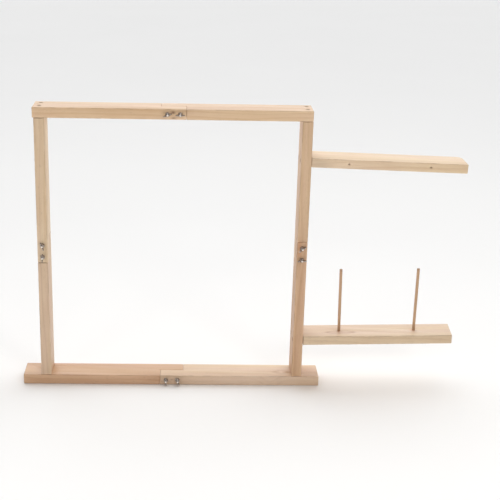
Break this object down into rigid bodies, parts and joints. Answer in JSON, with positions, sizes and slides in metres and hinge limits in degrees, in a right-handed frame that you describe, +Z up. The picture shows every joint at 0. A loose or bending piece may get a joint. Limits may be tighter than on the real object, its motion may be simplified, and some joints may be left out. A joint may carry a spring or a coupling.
{
  "type": "rug tufting loom",
  "caption": "Wooden take-down tufting loom: a square upright frame on a base plank, with a yarn guide arm and a spindle shelf at one side.",
  "frame": {"origin": "centre of the base plank's underside, where the loom stands", "axes": "+X to the loom's right seen from the front, +Y to its back, +Z up"},
  "size_m": [0.871, 0.0738, 0.568],
  "materials": {
    "frame_wood": "planed bare pine",
    "warm_frame_wood": "planed bare pine, a redder board",
    "stand_wood": "planed bare pine, a paler board",
    "dowel_wood": "bare hardwood dowel",
    "zinc_steel": "zinc plated",
    "screw_steel": "dull plated steel"
  },
  "bodies": {
    "frame": {"base_board_left": "warm_frame_wood", "base_board_right": "frame_wood", "top_rail_left": "frame_wood", "top_rail_right": "frame_wood", "left_upright_lower": "frame_wood", "left_upright_upper": "frame_wood", "right_upright_lower": "frame_wood", "right_upright_upper": "frame_wood", "guide_arm": "stand_wood", "spool_shelf": "stand_wood", "base_lap_bolt_1": "zinc_steel", "base_lap_bolt_2": "zinc_steel", "top_lap_bolt_1": "zinc_steel", "top_lap_bolt_2": "zinc_steel", "left_lap_bolt_1": "zinc_steel", "left_lap_bolt_2": "zinc_steel", "right_lap_bolt_1": "zinc_steel", "right_lap_bolt_2": "zinc_steel", "rail_screw_left_front": "screw_steel", "rail_screw_left_back": "screw_steel", "rail_screw_right_front": "screw_steel", "rail_screw_right_back": "screw_steel", "foot_screw_left_front": "screw_steel", "foot_screw_left_back": "screw_steel", "foot_screw_right_front": "screw_steel", "foot_screw_right_back": "screw_steel", "guide_arm_screw_front": "screw_steel", "guide_arm_screw_back": "screw_steel", "shelf_screw_front": "screw_steel", "shelf_screw_back": "screw_steel"},
    "base_washer_1": {"base_lap_washer_1": "zinc_steel"},
    "base_wing_nut_1": {"base_lap_wing_nut_1": "zinc_steel"},
    "base_washer_2": {"base_lap_washer_2": "zinc_steel"},
    "base_wing_nut_2": {"base_lap_wing_nut_2": "zinc_steel"},
    "top_washer_1": {"top_lap_washer_1": "zinc_steel"},
    "top_wing_nut_1": {"top_lap_wing_nut_1": "zinc_steel"},
    "top_washer_2": {"top_lap_washer_2": "zinc_steel"},
    "top_wing_nut_2": {"top_lap_wing_nut_2": "zinc_steel"},
    "left_washer_1": {"left_lap_washer_1": "zinc_steel"},
    "left_wing_nut_1": {"left_lap_wing_nut_1": "zinc_steel"},
    "left_washer_2": {"left_lap_washer_2": "zinc_steel"},
    "left_wing_nut_2": {"left_lap_wing_nut_2": "zinc_steel"},
    "right_washer_1": {"right_lap_washer_1": "zinc_steel"},
    "right_wing_nut_1": {"right_lap_wing_nut_1": "zinc_steel"},
    "right_washer_2": {"right_lap_washer_2": "zinc_steel"},
    "right_wing_nut_2": {"right_lap_wing_nut_2": "zinc_steel"},
    "spindle_inner": {"spool_spindle_inner": "dowel_wood"},
    "spindle_outer": {"spool_spindle_outer": "dowel_wood"}
  },
  "joints": [
    {"name": "base_washer_1_slide", "type": "slide", "parent": "frame", "child": "base_washer_1", "axis": [0, -1, 0], "range_m": [0, 0.0056]},
    {"name": "base_wing_nut_1_turn", "type": "hinge", "parent": "base_washer_1", "child": "base_wing_nut_1", "pos_m": [-0.012, -0.0302, 0.01], "axis": [0, -1, 0], "range_deg": [0, 2882]},
    {"name": "base_washer_2_slide", "type": "slide", "parent": "frame", "child": "base_washer_2", "axis": [0, -1, 0], "range_m": [0, 0.0056]},
    {"name": "base_wing_nut_2_turn", "type": "hinge", "parent": "base_washer_2", "child": "base_wing_nut_2", "pos_m": [0.012, -0.0302, 0.01], "axis": [0, -1, 0], "range_deg": [0, 2882]},
    {"name": "top_washer_1_slide", "type": "slide", "parent": "frame", "child": "top_washer_1", "axis": [0, -1, 0], "range_m": [0, 0.0056]},
    {"name": "top_wing_nut_1_turn", "type": "hinge", "parent": "top_washer_1", "child": "top_wing_nut_1", "pos_m": [-0.012, -0.0302, 0.558], "axis": [0, -1, 0], "range_deg": [0, 2882]},
    {"name": "top_washer_2_slide", "type": "slide", "parent": "frame", "child": "top_washer_2", "axis": [0, -1, 0], "range_m": [0, 0.0056]},
    {"name": "top_wing_nut_2_turn", "type": "hinge", "parent": "top_washer_2", "child": "top_wing_nut_2", "pos_m": [0.012, -0.0302, 0.558], "axis": [0, -1, 0], "range_deg": [0, 2882]},
    {"name": "left_washer_1_slide", "type": "slide", "parent": "frame", "child": "left_washer_1", "axis": [0, -1, 0], "range_m": [0, 0.0056]},
    {"name": "left_wing_nut_1_turn", "type": "hinge", "parent": "left_washer_1", "child": "left_wing_nut_1", "pos_m": [-0.254, -0.0302, 0.272], "axis": [0, -1, 0], "range_deg": [0, 2882]},
    {"name": "left_washer_2_slide", "type": "slide", "parent": "frame", "child": "left_washer_2", "axis": [0, -1, 0], "range_m": [0, 0.0056]},
    {"name": "left_wing_nut_2_turn", "type": "hinge", "parent": "left_washer_2", "child": "left_wing_nut_2", "pos_m": [-0.254, -0.0302, 0.296], "axis": [0, -1, 0], "range_deg": [0, 2882]},
    {"name": "right_washer_1_slide", "type": "slide", "parent": "frame", "child": "right_washer_1", "axis": [0, -1, 0], "range_m": [0, 0.0056]},
    {"name": "right_wing_nut_1_turn", "type": "hinge", "parent": "right_washer_1", "child": "right_wing_nut_1", "pos_m": [0.254, -0.0302, 0.272], "axis": [0, -1, 0], "range_deg": [0, 2882]},
    {"name": "right_washer_2_slide", "type": "slide", "parent": "frame", "child": "right_washer_2", "axis": [0, -1, 0], "range_m": [0, 0.0056]},
    {"name": "right_wing_nut_2_turn", "type": "hinge", "parent": "right_washer_2", "child": "right_wing_nut_2", "pos_m": [0.254, -0.0302, 0.296], "axis": [0, -1, 0], "range_deg": [0, 2882]},
    {"name": "spindle_inner_lift", "type": "slide", "parent": "frame", "child": "spindle_inner", "axis": [-0.021, 0, 0.9998], "range_m": [0, 0.012]},
    {"name": "spindle_outer_lift", "type": "slide", "parent": "frame", "child": "spindle_outer", "axis": [0, 0, 1], "range_m": [0, 0.012]}
  ],
  "couplings": [
    {"joint": "base_wing_nut_1_turn", "follows": "base_washer_1_slide", "rad_per_m": 8976},
    {"joint": "base_wing_nut_2_turn", "follows": "base_washer_2_slide", "rad_per_m": 8976},
    {"joint": "top_wing_nut_1_turn", "follows": "top_washer_1_slide", "rad_per_m": 8976},
    {"joint": "top_wing_nut_2_turn", "follows": "top_washer_2_slide", "rad_per_m": 8976},
    {"joint": "left_wing_nut_1_turn", "follows": "left_washer_1_slide", "rad_per_m": 8976},
    {"joint": "left_wing_nut_2_turn", "follows": "left_washer_2_slide", "rad_per_m": 8976},
    {"joint": "right_wing_nut_1_turn", "follows": "right_washer_1_slide", "rad_per_m": 8976},
    {"joint": "right_wing_nut_2_turn", "follows": "right_washer_2_slide", "rad_per_m": 8976}
  ]
}
